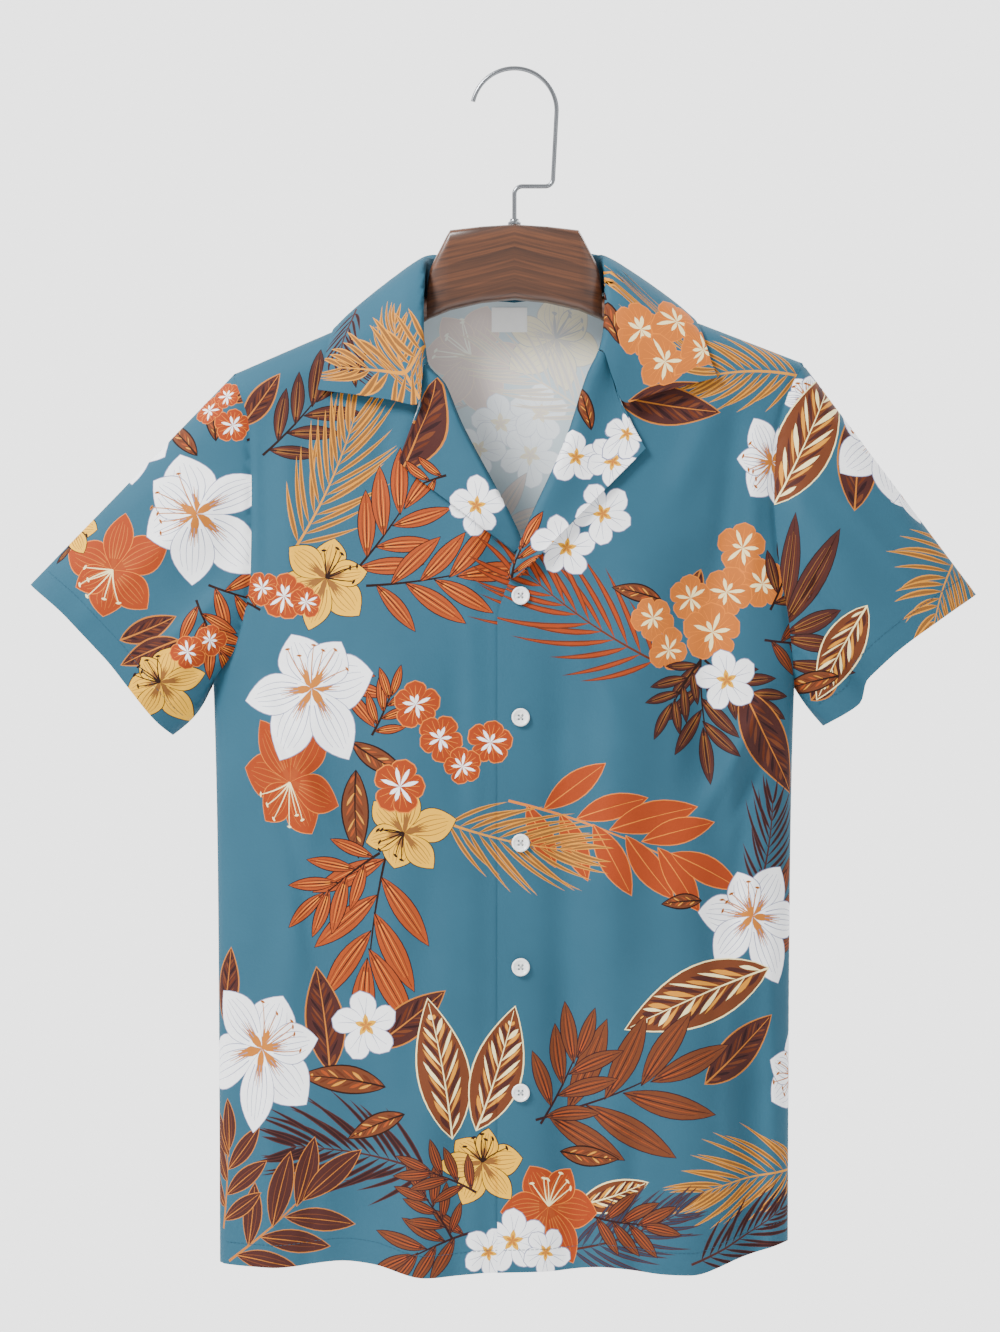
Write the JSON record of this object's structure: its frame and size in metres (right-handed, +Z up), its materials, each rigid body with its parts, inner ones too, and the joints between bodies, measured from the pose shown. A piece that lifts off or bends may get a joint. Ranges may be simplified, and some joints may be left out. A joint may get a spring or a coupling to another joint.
{
  "type": "short-sleeved camp-collar shirt on its wooden hanger",
  "caption": "Short-sleeved camp-collar shirt with turned lapels, buttoned and hung on a wide wooden hanger with a cranked wire hook.",
  "frame": {"origin": "the inside top of the hanger's hook, where it rests on a rail", "axes": "+Z up, +X towards the wearer's left sleeve, the buttoned front towards -Y"},
  "size_m": [0.723, 0.0952, 0.9208],
  "materials": {
    "printed_cloth": "matte woven cotton, printed",
    "label_cloth": "plain woven tape",
    "button_pearl": "pearly, satin polished",
    "hanger_timber": "dark stained, satin lacquered",
    "hanger_metal": "bright plated wire"
  },
  "bodies": {
    "root": {"front_right": "printed_cloth", "front_left": "printed_cloth", "back": "printed_cloth", "sleeve_right": "printed_cloth", "sleeve_left": "printed_cloth", "lapel_right": "printed_cloth", "lapel_left": "printed_cloth", "collar": "printed_cloth", "neck_label": "label_cloth", "button_1": "button_pearl", "button_2": "button_pearl", "button_3": "button_pearl", "button_4": "button_pearl", "button_5": "button_pearl", "hanger_wood": "hanger_timber", "hanger_hook": "hanger_metal", "hanger_collar": "hanger_metal"}
  },
  "joints": []
}
